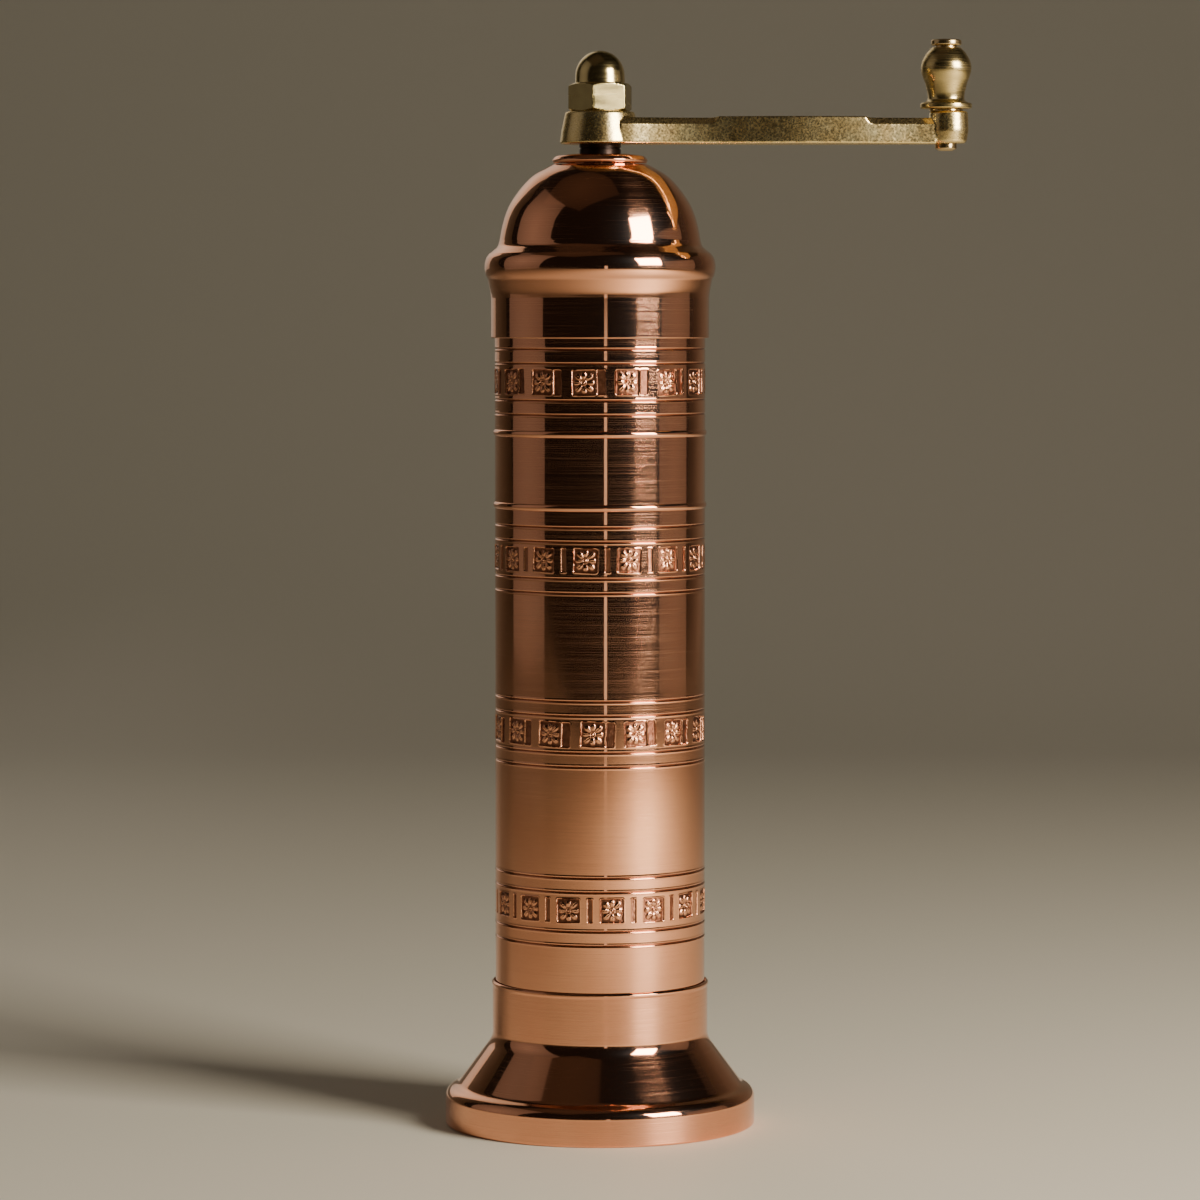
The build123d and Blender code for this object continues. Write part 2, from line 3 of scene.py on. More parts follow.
import bmesh
import bpy
import numpy as np
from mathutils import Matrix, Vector


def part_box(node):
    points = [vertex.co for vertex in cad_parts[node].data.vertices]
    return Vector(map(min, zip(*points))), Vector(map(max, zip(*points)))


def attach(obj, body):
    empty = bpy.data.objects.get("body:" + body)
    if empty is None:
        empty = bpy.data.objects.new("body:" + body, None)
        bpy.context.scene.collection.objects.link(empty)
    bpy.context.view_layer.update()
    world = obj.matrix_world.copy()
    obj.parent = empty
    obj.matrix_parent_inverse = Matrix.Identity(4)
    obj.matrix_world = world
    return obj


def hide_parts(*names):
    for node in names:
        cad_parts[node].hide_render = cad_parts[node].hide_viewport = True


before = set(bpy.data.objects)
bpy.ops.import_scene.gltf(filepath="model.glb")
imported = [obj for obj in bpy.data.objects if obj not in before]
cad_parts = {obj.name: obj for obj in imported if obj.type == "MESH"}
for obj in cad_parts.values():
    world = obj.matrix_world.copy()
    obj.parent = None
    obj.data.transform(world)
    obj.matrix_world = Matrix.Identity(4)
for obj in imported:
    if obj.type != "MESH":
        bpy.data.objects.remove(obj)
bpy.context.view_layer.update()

MM = 0.001
LIGHT_AIM = Vector((0, 0, 0.1215))      # metres; about half the mill's height
EYE = (0.0, -1.066, 0.184)              # metres
EYE_TILT = 86.52                        # degrees up from straight down
LENS = 141.3                            # mm, on a 36 mm sensor
PAPER = (0.72, 0.675, 0.545)

# ---------------------------------------------------------------- places taken from the frame
TUBE_LOW, TUBE_HIGH = (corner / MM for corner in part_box("body_tube"))
CRANK_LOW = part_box("crank_arm")[0] / MM
PIN_LOW, PIN_HIGH = (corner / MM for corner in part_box("knob_pin"))
KNOB_X = (PIN_LOW.x + PIN_HIGH.x) / 2
BOSS_X = KNOB_X + 0.6        # the cast boss runs out a little past the pin

# ---------------------------------------------------------------- driving dimensions (mm)
BODY_R = 23.8
BODY_BORE = 23.0
COARSE = 300                # columns round a plain turned surface
FINE = 1200                 # columns round an engraved band
SMALL = 128                 # columns round a pin, washer, sleeve or boss
BANDS = (51.2, 90.6, 129.3, 168.8)
GROOVES = (-7.3, -4.1, 4.1, 7.3)        # from the middle of their band
LOWEST_GROOVES = (-7.9, -4.7, 4.1, 7.3)
BEADS = (140.9, 157.2)
CELLS = 15                  # rosettes round a band
BAND_HALF = 3.2
BAND_ROWS = 53              # rings of points over one band
GROOVE_DEPTH = 0.24
BEAD_HALF = 0.75
BEAD_RISE = 0.34


# ================================================================ mesh helpers
def fillet_path(corners, step=7.0):
    """Points along an outline given as (radius, height) or (radius, height, fillet) corners."""
    points = []
    for index, corner in enumerate(corners):
        here = np.array(corner[:2], float)
        if len(corner) < 3 or index in (0, len(corners) - 1):
            points.append(here)
            continue
        before = np.array(corners[index - 1][:2], float) - here
        after = np.array(corners[index + 1][:2], float) - here
        before /= np.linalg.norm(before)
        after /= np.linalg.norm(after)
        inside = math.acos(float(np.clip(before @ after, -1, 1)))
        turn = math.pi - inside
        reach = corner[2] * math.tan(turn / 2)
        bisector = before + after
        centre = here + bisector / np.linalg.norm(bisector) * corner[2] / math.sin(inside / 2)
        start = here + before * reach - centre
        end = here + after * reach - centre
        count = max(2, int(math.degrees(turn) / step) + 1)
        for k in range(count + 1):
            t = k / count
            blend = (math.sin((1 - t) * turn) * start + math.sin(t * turn) * end) / math.sin(turn)
            points.append(centre + blend)
    return [tuple(p) for p in points]


def spline_path(points, per_span=8):
    """A smooth curve through the given points (centripetal Catmull-Rom)."""
    pts = [np.array(p, float) for p in points]
    pts = [2 * pts[0] - pts[1], *pts, 2 * pts[-1] - pts[-2]]
    out = []
    for p0, p1, p2, p3 in zip(pts, pts[1:], pts[2:], pts[3:]):
        t0 = 0.0
        t1 = t0 + math.sqrt(np.linalg.norm(p1 - p0))
        t2 = t1 + math.sqrt(np.linalg.norm(p2 - p1))
        t3 = t2 + math.sqrt(np.linalg.norm(p3 - p2))
        for k in range(per_span):
            t = t1 + (t2 - t1) * k / per_span
            a1 = (t1 - t) / (t1 - t0) * p0 + (t - t0) / (t1 - t0) * p1
            a2 = (t2 - t) / (t2 - t1) * p1 + (t - t1) / (t2 - t1) * p2
            a3 = (t3 - t) / (t3 - t2) * p2 + (t - t2) / (t3 - t2) * p3
            b1 = (t2 - t) / (t2 - t0) * a1 + (t - t0) / (t2 - t0) * a2
            b2 = (t3 - t) / (t3 - t1) * a2 + (t - t1) / (t3 - t1) * a3
            out.append(tuple((t2 - t) / (t2 - t1) * b1 + (t - t1) / (t2 - t1) * b2))
    out.append(tuple(pts[-2]))
    return out


def make_piece(name, points, faces, material, body, nodes=(), sharp=32.0, cut=None):
    """A Blender object from points in mm, riding on a body and standing for the given CAD nodes."""
    mesh = bpy.data.meshes.new(name)
    mesh.from_pydata((np.asarray(points, float) * MM).tolist(), [], faces)
    if cut is not None:
        mesh.attributes.new("cut", "FLOAT", "POINT").data.foreach_set("value", np.asarray(cut, np.float32))
    work = bmesh.new()
    work.from_mesh(mesh)
    bmesh.ops.recalc_face_normals(work, faces=work.faces)
    work.to_mesh(mesh)
    work.free()
    mesh.polygons.foreach_set("use_smooth", [True] * len(mesh.polygons))
    mesh.set_sharp_from_angle(angle=math.radians(sharp))
    piece = bpy.data.objects.new(name, mesh)
    bpy.context.scene.collection.objects.link(piece)
    mesh.materials.append(material)
    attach(piece, body)
    for node in nodes:
        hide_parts(node)
    return piece


def ring_points(radius, height, columns, x=0.0):
    """One ring of points; radius may be a number or one value for each column."""
    angle = np.arange(columns) * (2 * math.pi / columns)
    radius = np.broadcast_to(radius, angle.shape)
    return np.column_stack((x + radius * np.cos(angle), radius * np.sin(angle), np.full(columns, height)))


def join_rings(first, count_a, second, count_b):
    """Faces between two rings whose counts are equal or a whole multiple of each other."""
    if count_b > count_a:
        return join_rings(second, count_b, first, count_a)
    k = count_a // count_b
    faces = []
    for j in range(count_b):
        fine = [first + (j * k + i) % count_a for i in range(k + 1)]
        faces.append([*fine, second + (j + 1) % count_b, second + j])
    return faces


def ring_surface(rings, closed=True):
    """Points and faces of stacked rings, each an array of points."""
    starts = np.cumsum([0] + [len(r) for r in rings])
    faces = []
    pairs = list(range(len(rings) - 1)) + ([len(rings) - 1] if closed else [])
    for i in pairs:
        j = (i + 1) % len(rings)
        faces += join_rings(int(starts[i]), len(rings[i]), int(starts[j]), len(rings[j]))
    return np.vstack(rings), faces


def supported(profile, near=0.12):
    """The same outline with a point close to each end of every long segment, so long faces shade flat."""
    out = [profile[0]]
    for (r0, z0), (r1, z1) in zip(profile, profile[1:]):
        length = math.hypot(r1 - r0, z1 - z0)
        if length > 5 * near:
            for t in (near / length, 1 - near / length):
                out.append((r0 + (r1 - r0) * t, z0 + (z1 - z0) * t))
        out.append((r1, z1))
    return out


def lathe(profile, columns=COARSE, x=0.0):
    """A turned solid: a closed outline, or one that starts and ends on the axis."""
    profile = supported(profile)
    on_axis = profile[0][0] < 1e-6
    body = profile[1:-1] if on_axis else profile
    rings = [ring_points(r, z, columns, x) for r, z in body]
    points, faces = ring_surface(rings, closed=not on_axis)
    if on_axis:
        last = len(points) - columns
        low, high = len(points), len(points) + 1
        points = np.vstack((points, [[x, 0, profile[0][1]], [x, 0, profile[-1][1]]]))
        for i in range(columns):
            j = (i + 1) % columns
            faces.append([i, j, low])
            faces.append([last + j, last + i, high])
    return points, faces


def shell_outline(outer, wall):
    """The closed outline of a sheet: the outer line and the line one wall thickness inside it."""
    pts = np.array(outer)
    along = np.gradient(pts, axis=0)
    along /= np.linalg.norm(along, axis=1)[:, None]
    inner = pts + np.column_stack((-along[:, 1], along[:, 0])) * wall
    return [tuple(p) for p in pts] + [tuple(p) for p in inner[::-1]]


# ================================================================ material helpers
def node_material(name, colour, metallic=1.0, roughness=0.2, anisotropic=0.0, turn=0.0, coat=0.0, haze=0.03):
    """A metal with constant values on its own sockets; returns the material and its node helpers."""
    material = bpy.data.materials.new(name)
    material.use_nodes = True
    tree = material.node_tree
    shader = tree.nodes["Principled BSDF"]
    shader.inputs["Base Color"].default_value = (*colour, 1)
    shader.inputs["Metallic"].default_value = metallic
    shader.inputs["Roughness"].default_value = roughness
    shader.inputs["Anisotropic"].default_value = anisotropic
    shader.inputs["Anisotropic Rotation"].default_value = turn
    shader.inputs["Coat Weight"].default_value = coat
    shader.inputs["Coat Roughness"].default_value = haze
    return material, tree, shader


def add(tree, kind, **values):
    """A node with its properties (by attribute name) and socket values (by socket name)."""
    node = tree.nodes.new(kind)
    for key, value in values.items():
        if hasattr(node, key):
            setattr(node, key, value)
        else:
            node.inputs[key].default_value = value
    return node


def noise(tree, scale, stretch=(1, 1, 1), detail=3.0, rough=0.5, seed=0.0):
    """Noise in the object's own coordinates, stretched per axis; returns its value socket."""
    place = add(tree, "ShaderNodeTexCoord")
    mapping = add(tree, "ShaderNodeMapping")
    mapping.inputs["Scale"].default_value = stretch
    mapping.inputs["Location"].default_value = (seed, seed * 0.7, seed * 1.3)
    tree.links.new(place.outputs["Object"], mapping.inputs["Vector"])
    texture = add(tree, "ShaderNodeTexNoise", Scale=scale, Detail=detail, Roughness=rough)
    tree.links.new(mapping.outputs["Vector"], texture.inputs["Vector"])
    return texture.outputs["Fac"]


def ramp(tree, source, stops):
    """A colour ramp from (position, colour) stops."""
    node = add(tree, "ShaderNodeValToRGB")
    while len(node.color_ramp.elements) < len(stops):
        node.color_ramp.elements.new(0.5)
    for element, (position, colour) in zip(node.color_ramp.elements, stops):
        element.position = position
        element.color = (*colour, 1)
    tree.links.new(source, node.inputs["Fac"])
    return node.outputs["Color"]


def to_range(tree, source, low, high, from_low=0.3, from_high=0.7):
    """Maps a 0..1 noise onto a working range."""
    node = add(tree, "ShaderNodeMapRange")
    node.inputs["From Min"].default_value = from_low
    node.inputs["From Max"].default_value = from_high
    node.inputs["To Min"].default_value = low
    node.inputs["To Max"].default_value = high
    tree.links.new(source, node.inputs["Value"])
    return node.outputs["Result"]


def bump(tree, shader, heights):
    """Chains bumps given as (height socket, distance in mm, strength) into the shader's normal."""
    normal = None
    for source, distance, strength in heights:
        node = add(tree, "ShaderNodeBump", Strength=strength, Distance=distance * MM)
        tree.links.new(source, node.inputs["Height"])
        if normal is not None:
            tree.links.new(normal, node.inputs["Normal"])
        normal = node.outputs["Normal"]
    tree.links.new(normal, shader.inputs["Normal"])


HAIRLINE_STRETCH = (28, 28, 60000)  # per metre: long round the axis, about 17 microns up it
HAIRLINE_FADE = 0.24                # range of the noise over which a line turns rough
HAIRLINE_DRIFT = 0.05               # how far soft patches shift where the lines begin
CUT_DULLNESS = 0.36                 # roughness added where the surface is cut


def hairlines(tree, shader, low, high, seed, edge, worn=None):
    """Roughness of a lapped surface: mostly smooth, with fine rough lines running round the axis; where
    the worn socket is high it turns dull."""
    lines = noise(tree, 1.0, HAIRLINE_STRETCH, detail=1, seed=seed)
    patches = noise(tree, 55, (1, 1, 2.5), detail=3, seed=seed + 2)
    shift = add(tree, "ShaderNodeMath", operation="MULTIPLY_ADD")
    shift.inputs[1].default_value = HAIRLINE_DRIFT
    tree.links.new(patches, shift.inputs[0])
    tree.links.new(lines, shift.inputs[2])
    rough = to_range(tree, shift.outputs[0], low, high, edge, edge + HAIRLINE_FADE)
    if worn is not None:
        dull = add(tree, "ShaderNodeMath", operation="MULTIPLY_ADD")
        dull.inputs[1].default_value = CUT_DULLNESS
        tree.links.new(worn, dull.inputs[0])
        tree.links.new(rough, dull.inputs[2])
        rough = dull.outputs[0]
    tree.links.new(rough, shader.inputs["Roughness"])


def round_tangent(tree, shader):
    """Brushing that runs round the mill's axis."""
    tangent = add(tree, "ShaderNodeTangent", direction_type="RADIAL", axis="Z")
    tree.links.new(tangent.outputs["Tangent"], shader.inputs["Tangent"])


# ================================================================ materials
COPPER = (0.94, 0.45, 0.26)
COPPER_DEEP = (0.88, 0.39, 0.215)
# Dark copper laid into the engraved cuts and grooves by their depth: patina together with painted shade in
# the hollows.
PATINA_AND_SHADE = (0.16, 0.055, 0.03)
BRASS = (0.80, 0.60, 0.26)
BRASS_PALE = (0.81, 0.67, 0.34)
COPPER_FINISH = dict(anisotropic=0.9, turn=0.25, coat=0.15, haze=0.36)     # brushed, thinly lacquered


def brushed_copper(name, patina_and_shade, low=0.05, high=0.40, edge=0.60):
    """Lacquered copper, finely brushed round the axis; the engraved cuts and grooves are darkened by their
    depth, patina together with painted shade in the hollows.
    """
    material, tree, shader = node_material(name, COPPER, roughness=low, **COPPER_FINISH)
    round_tangent(tree, shader)
    blotch = noise(tree, 90, (1, 1, 0.6), detail=4)
    colour = ramp(tree, blotch, ((0.35, COPPER), (0.75, COPPER_DEEP)))
    worn = None
    # The cuts and grooves darken by their depth: patina together with painted shade in the hollows.
    if patina_and_shade:
        cut = add(tree, "ShaderNodeAttribute", attribute_name="cut")
        patina_shade_noise = noise(tree, 900, detail=4, seed=3.0)
        amount = add(tree, "ShaderNodeMath", operation="MULTIPLY")
        tree.links.new(cut.outputs["Fac"], amount.inputs[0])
        tree.links.new(to_range(tree, patina_shade_noise, 0.75, 1.0), amount.inputs[1])
        mix = add(tree, "ShaderNodeMix", data_type="RGBA")
        tree.links.new(amount.outputs[0], mix.inputs["Factor"])
        tree.links.new(colour, mix.inputs["A"])
        mix.inputs["B"].default_value = (*PATINA_AND_SHADE, 1)
        colour = mix.outputs["Result"]
        worn = cut.outputs["Fac"]
    tree.links.new(colour, shader.inputs["Base Color"])
    lines = noise(tree, 1.0, (160, 160, 7000), detail=2)
    streaks = noise(tree, 1.0, (420, 420, 2600), detail=3, seed=5.0)
    hairlines(tree, shader, low, high, 9.0, edge, worn)
    bump(tree, shader, ((lines, 0.0008, 0.3), (streaks, 0.0015, 0.25)))
    return material


def polished_copper(name):
    """Mirror-polished spun copper with the faint waviness and hairlines of hand buffing."""
    material, tree, shader = node_material(name, COPPER, roughness=0.07, **COPPER_FINISH)
    round_tangent(tree, shader)
    blotch = noise(tree, 60, detail=4, seed=2.0)
    tree.links.new(ramp(tree, blotch, ((0.3, COPPER), (0.8, COPPER_DEEP))), shader.inputs["Base Color"])
    hairlines(tree, shader, 0.055, 0.36, 4.0, 0.60)
    waves = noise(tree, 110, detail=1, seed=6.0)
    hairs = noise(tree, 1.0, (260, 260, 3200), detail=3, seed=8.0)
    bump(tree, shader, ((waves, 0.02, 0.2), (hairs, 0.001, 0.2)))
    return material


def cast_brass(name):
    """Sand-cast brass, tumbled bright: pale gold with a fine pebbled skin."""
    material, tree, shader = node_material(name, BRASS_PALE, roughness=0.26)
    blotch = noise(tree, 260, detail=5, seed=1.0)
    tint = ramp(tree, blotch, ((0.3, BRASS_PALE), (0.6, BRASS), (0.85, (0.66, 0.48, 0.22))))
    tree.links.new(tint, shader.inputs["Base Color"])
    grain = noise(tree, 2200, detail=3, seed=2.0)
    pits = noise(tree, 4200, detail=2, seed=4.0)
    tree.links.new(to_range(tree, grain, 0.20, 0.32), shader.inputs["Roughness"])
    bump(tree, shader, ((grain, 0.02, 0.35), (pits, 0.010, 0.35)))
    return material


def turned_brass(name, colour, rough=0.2, line_scale=2600):
    """Lathe-turned metal with fine tool lines round its own axis."""
    material, tree, shader = node_material(name, colour, roughness=rough)
    deep = tuple(c * 0.78 for c in colour)
    blotch = noise(tree, 300, detail=4, seed=3.0)
    tree.links.new(ramp(tree, blotch, ((0.35, colour), (0.8, deep))), shader.inputs["Base Color"])
    lines = noise(tree, 1.0, (90, 90, line_scale), detail=2, seed=5.0)
    tree.links.new(to_range(tree, lines, rough * 0.7, rough * 1.35), shader.inputs["Roughness"])
    bump(tree, shader, ((lines, 0.012, 0.4),))
    return material


def steel(name, colour, rough, grain_scale=1500, depth=0.02, metallic=1.0, stretch=(1, 1, 1)):
    """Machined, cast or blackened steel and iron."""
    material, tree, shader = node_material(name, colour, metallic=metallic, roughness=rough)
    deep = tuple(c * 0.7 for c in colour)
    blotch = noise(tree, 220, detail=5, seed=7.0)
    tree.links.new(ramp(tree, blotch, ((0.3, colour), (0.8, deep))), shader.inputs["Base Color"])
    grain = noise(tree, grain_scale, stretch, detail=4, seed=8.0)
    tree.links.new(to_range(tree, grain, rough * 0.75, rough * 1.3), shader.inputs["Roughness"])
    bump(tree, shader, ((grain, depth, 0.5),))
    return material


M_BODY = brushed_copper("engraved_copper", patina_and_shade=True)
M_BRUSHED = brushed_copper("brushed_copper", patina_and_shade=False, low=0.16, high=0.42, edge=0.57)
M_POLISHED = polished_copper("polished_copper")
M_CAST = cast_brass("cast_brass")
M_KNOB = turned_brass("turned_brass", (0.70, 0.54, 0.24), rough=0.24)
# The hex flats get a darker copy of the nut's brass: painted shade.
M_HEX_SHADED = turned_brass("nut_flats_shaded", (0.42, 0.34, 0.15), rough=0.22, line_scale=700)
M_NUT = turned_brass("nut_dome", (0.74, 0.59, 0.27), rough=0.18)
M_PIN = turned_brass("pin_bronze", (0.74, 0.55, 0.28), rough=0.22)
M_RING = turned_brass("ring_brass", (0.78, 0.58, 0.30), rough=0.3)
M_BLACK = steel("black_steel", (0.045, 0.032, 0.026), 0.34, depth=0.01, stretch=(1, 1, 4))
M_STEEL = steel("machined_steel", (0.50, 0.49, 0.47), 0.28, stretch=(0.3, 0.3, 3), depth=0.008)
M_IRON = steel("cast_iron", (0.13, 0.125, 0.12), 0.55, grain_scale=1800, depth=0.05)
M_TIN = steel("tinned_plate", (0.62, 0.60, 0.55), 0.34, grain_scale=600, depth=0.008)
M_BURR = steel("burr_steel", (0.34, 0.33, 0.32), 0.33, depth=0.012)


# ================================================================ engraved bands
def smooth(x):
    x = np.clip(x, 0, 1)
    return x * x * (3 - 2 * x)


def sunk_box(u, v, centre, half_u, half_v, corner=0.3, edge=0.14):
    """1 inside a rounded rectangle, 0 outside, with a steep even wall."""
    du = np.abs(u - centre) - half_u + corner
    dv = np.abs(v) - half_v + corner
    outside = np.hypot(np.maximum(du, 0), np.maximum(dv, 0)) + np.minimum(np.maximum(du, dv), 0) - corner
    return smooth(0.5 - outside / edge), outside


def rosette(u, v):
    """Height, from 0 to 1, of an eight-petal flower about the origin."""
    rho = np.hypot(u, v)
    phi = np.arctan2(v, u)
    step = math.pi / 4
    which = np.round(phi / step)
    off = phi - which * step
    diagonal = np.mod(which, 2)
    axial = rho * np.cos(off)
    lateral = rho * np.sin(off)
    middle = 1.52 + 0.14 * diagonal
    reach = 0.92 + 0.16 * diagonal
    inside = 1 - ((axial - middle) / reach) ** 2 - (lateral / (0.36 + 0.16 * axial)) ** 2
    petal = np.sqrt(np.clip(inside, 0, 1)) - 0.22 * np.exp(-(lateral / 0.12) ** 2)
    ring = 0.8 * np.exp(-((rho - 0.56) / 0.13) ** 2)
    boss = 0.95 * np.sqrt(np.clip(1 - (rho / 0.33) ** 2, 0, 1))
    return np.maximum(np.maximum(petal, ring), boss)


def band_relief(angle, v, phase, framed, rng):
    """Height in mm, and how deep the cut is from 0 to 1, over one band's grid."""
    pitch = 2 * math.pi / CELLS
    turn = (angle - phase) / pitch
    cell = np.round(turn).astype(int) % CELLS
    u = (turn - np.round(turn)) * pitch * BODY_R
    shift = rng.uniform(-0.07, 0.07, (CELLS, 2))
    tilt = rng.uniform(-0.05, 0.05, CELLS)
    depth = rng.uniform(0.26, 0.34, CELLS)
    u0, v0 = u - shift[cell, 0], v - shift[cell, 1]
    u1, v1 = u0 - tilt[cell] * v0, v0 + tilt[cell] * u0
    if framed:
        panels = ((-0.35, 2.62, 2.72), (3.55, 0.92, 2.72))
    else:
        panels = ((0.0, 2.62, 2.62),)
    sunk = np.zeros_like(u)
    lip = np.zeros_like(u)
    for centre, half_u, half_v in panels:
        mask, outside = sunk_box(u1, v1, centre, half_u, half_v)
        sunk = np.maximum(sunk, mask)
        lip = np.maximum(lip, np.exp(-((outside - 0.16) / 0.1) ** 2))
    if not framed:
        bar_u = (turn - np.floor(turn) - 0.5) * pitch * BODY_R
        mask, outside = sunk_box(bar_u, v, 0.0, 0.52, 2.6, corner=0.12)
        sunk = np.maximum(sunk, mask * 0.85)
        lip = np.maximum(lip, np.exp(-((outside - 0.16) / 0.1) ** 2))
    flower = rosette(u1 - panels[0][0], v1)
    pebbles = rng.normal(0, 1, u.shape)
    pebbles = (pebbles + np.roll(pebbles, 1, 0) + np.roll(pebbles, 1, 1) + np.roll(pebbles, -1, 0)) / 2
    raised = flower * (0.98 + 0.02 * pebbles) * 0.30
    height = -depth[cell] * sunk + raised * (sunk > 0.5) + 0.045 * lip * (1 - sunk)
    height += 0.016 * pebbles * sunk
    # The cut value darkens the sunk ground in the material: patina together with painted shade in the
    # hollows.
    cut = sunk * np.clip(1.0 - flower * 1.15, 0, 1)
    return height, cut


PHASES = (6.5, -3.3, -8.0, -8.0)        # angle of one rosette to the right of the front, degrees
FRAMED = (False, True, False, True)
SPLITS = (TUBE_LOW.z, 71.0, 110.0, 149.0, TUBE_HIGH.z)     # heights at which the tube's lengths meet
GROOVE_SHAPE = ((-0.62, 0.0), (-0.4, 0.03), (-0.26, 0.03), (-0.13, -0.13), (0.0, -GROOVE_DEPTH),
                (0.13, -0.13), (0.26, 0.03), (0.4, 0.03), (0.62, 0.0))


def tube_segment(index):
    """One length of the body tube: plain wall, grooves, bead and an engraved band, closed inside."""
    low, high, centre = SPLITS[index], SPLITS[index + 1], BANDS[index]
    rng = np.random.default_rng(40 + index)
    rows = [(low, 0.0), (high, 0.0)]
    for offset in GROOVES if index else LOWEST_GROOVES:
        rows += [(centre + offset + z, r) for z, r in GROOVE_SHAPE]
    for bead in BEADS:
        if low < bead < high:
            rows += [(bead + BEAD_HALF * math.sin(t), BEAD_RISE * math.cos(t) ** 1.5)
                     for t in np.linspace(-math.pi / 2, math.pi / 2, 13)]
    rows = sorted(r for r in rows if abs(r[0] - centre) > BAND_HALF)
    low_side = supported([r for r in rows if r[0] < centre] + [(centre - BAND_HALF - 0.02, 0.0)])
    high_side = supported([(centre + BAND_HALF + 0.02, 0.0)] + [r for r in rows if r[0] > centre])
    rings, cuts = [], []

    def plain(z, extra):
        rings.append(ring_points(BODY_R + extra, z, COARSE))
        # A groove's depth darkens it in the material: patina together with painted shade in the hollows.
        cuts.append(np.full(COARSE, min(1.0, max(0.0, -extra / GROOVE_DEPTH) * 0.8)))

    for z, extra in low_side:
        plain(z, extra)
    angle = np.arange(FINE) * (2 * math.pi / FINE)
    heights = np.linspace(-BAND_HALF, BAND_HALF, BAND_ROWS)
    front = math.radians(-90 + PHASES[index])
    relief, cut = band_relief(angle[None, :] + 0 * heights[:, None], heights[:, None] + 0 * angle[None, :],
                              front, FRAMED[index], rng)
    relief[[0, -1]] = 0.0
    for row, z in enumerate(heights):
        rings.append(ring_points(BODY_R + relief[row], centre + z, FINE))
        cuts.append(cut[row])
    for z, extra in high_side:
        plain(z, extra)
    for z in (high, low):
        rings.append(ring_points(BODY_BORE, z, COARSE))
        cuts.append(np.zeros(COARSE))
    points, faces = ring_surface(rings)
    make_piece(f"body_tube_{index + 1}", points, faces, M_BODY, "body", ("body_tube",),
               sharp=60, cut=np.concatenate(cuts))


# ================================================================ turned shells
FOOT_WALL = 0.6
LID_WALL = 0.8
FOOT_OUTLINE = (
    (31.9, 0.0), (35.2, 0.0, 0.5), (35.2, 7.8, 2.7), (32.4, 9.0, 2.2), (24.45, 19.6, 5.0), (24.45, 31.5, 0.3),
    (24.62, 31.9, 0.3), (24.6, 32.35, 0.3), (24.3, 32.7, 0.2), (24.1, 32.7),
)
SKIRT_R = 24.66


def build_foot():
    line = fillet_path(FOOT_OUTLINE, step=4)
    points, faces = lathe(shell_outline(line, FOOT_WALL))
    foot = make_piece("foot_shell", points, faces, M_POLISHED, "foot", ("foot_shell",))
    foot.data.materials.append(M_BRUSHED)
    collar_low, collar_high, rim_high, rim_r = 21.3, 31.5, 5.9, 34.3
    second_material_by_height(foot, lambda r, z: (z > collar_low) & (z < collar_high) | (z < rim_high) & (r > rim_r))


def second_material_by_height(piece, chosen):
    """Gives the second material to the faces whose middle (radius, height) in mm is chosen."""
    centres = np.array([(math.hypot(p.center.x, p.center.y), p.center.z) for p in piece.data.polygons]) / MM
    pick = chosen(centres[:, 0], centres[:, 1])
    piece.data.polygons.foreach_set("material_index", pick.astype(np.int32))


def build_lid():
    skirt = [(SKIRT_R - 0.12, 178.5), (SKIRT_R, 178.62), (SKIRT_R, 182.5), (SKIRT_R, 187.5)]
    taper = spline_path(((SKIRT_R, 187.5), (24.8, 188.8), (25.35, 191.7)))[1:]
    bead = spline_path((
        (25.35, 191.7), (25.8, 192.6), (26.07, 193.9), (26.05, 195.3), (25.7, 196.6), (25.1, 197.5),
    ))[1:]
    neck = spline_path(((25.1, 197.5), (24.0, 198.4), (23.15, 199.2), (22.75, 200.3)))[1:]
    dome = spline_path((
        (22.75, 200.3), (22.2, 203.2), (21.45, 206.0), (20.4, 208.5), (18.6, 211.3), (16.2, 214.1),
        (14.5, 215.5), (12.4, 216.7), (10.9, 217.5),
    ))[1:]
    line = skirt + taper + bead + neck + dome + [(7.1, 217.7)]
    points, faces = lathe(shell_outline(line, LID_WALL))
    make_piece("lid_dome", points, faces, M_POLISHED, "lid", ("lid_dome",), sharp=50)


def build_bush():
    corners = (
        (4.75, 209.5), (6.9, 209.5, 0.2), (6.9, 217.75), (10.5, 217.75, 0.2), (10.8, 218.5, 0.25),
        (10.1, 219.4, 0.9), (8.2, 219.75, 0.6), (4.75, 219.75),
    )
    points, faces = lathe(fillet_path(corners, step=10))
    make_piece("bearing_bush", points, faces, M_POLISHED, "lid", ("bearing_bush",))


def build_sleeve():
    corners = (
        (4.0, 204.5), (7.0, 204.5, 0.3), (7.0, 209.2, 0.3), (4.7, 209.2), (4.7, 220.9), (4.5, 221.0),
        (4.5, 221.25), (4.7, 221.35), (4.7, 222.1), (4.0, 222.1),
    )
    points, faces = lathe(fillet_path(corners), SMALL)
    make_piece("shaft_collar", points, faces, M_BLACK, "crank", ("shaft_collar",))


# ================================================================ crank
ARM_SIDE = ((4.6, 7.6), (7.0, 7.2), (12.0, 6.0), (18.0, 4.95), (25.0, 4.5), (34.0, 5.2), (44.0, 6.0),
            (54.0, 5.6), (62.0, 4.8), (70.0, 3.75), (75.6, 3.3))


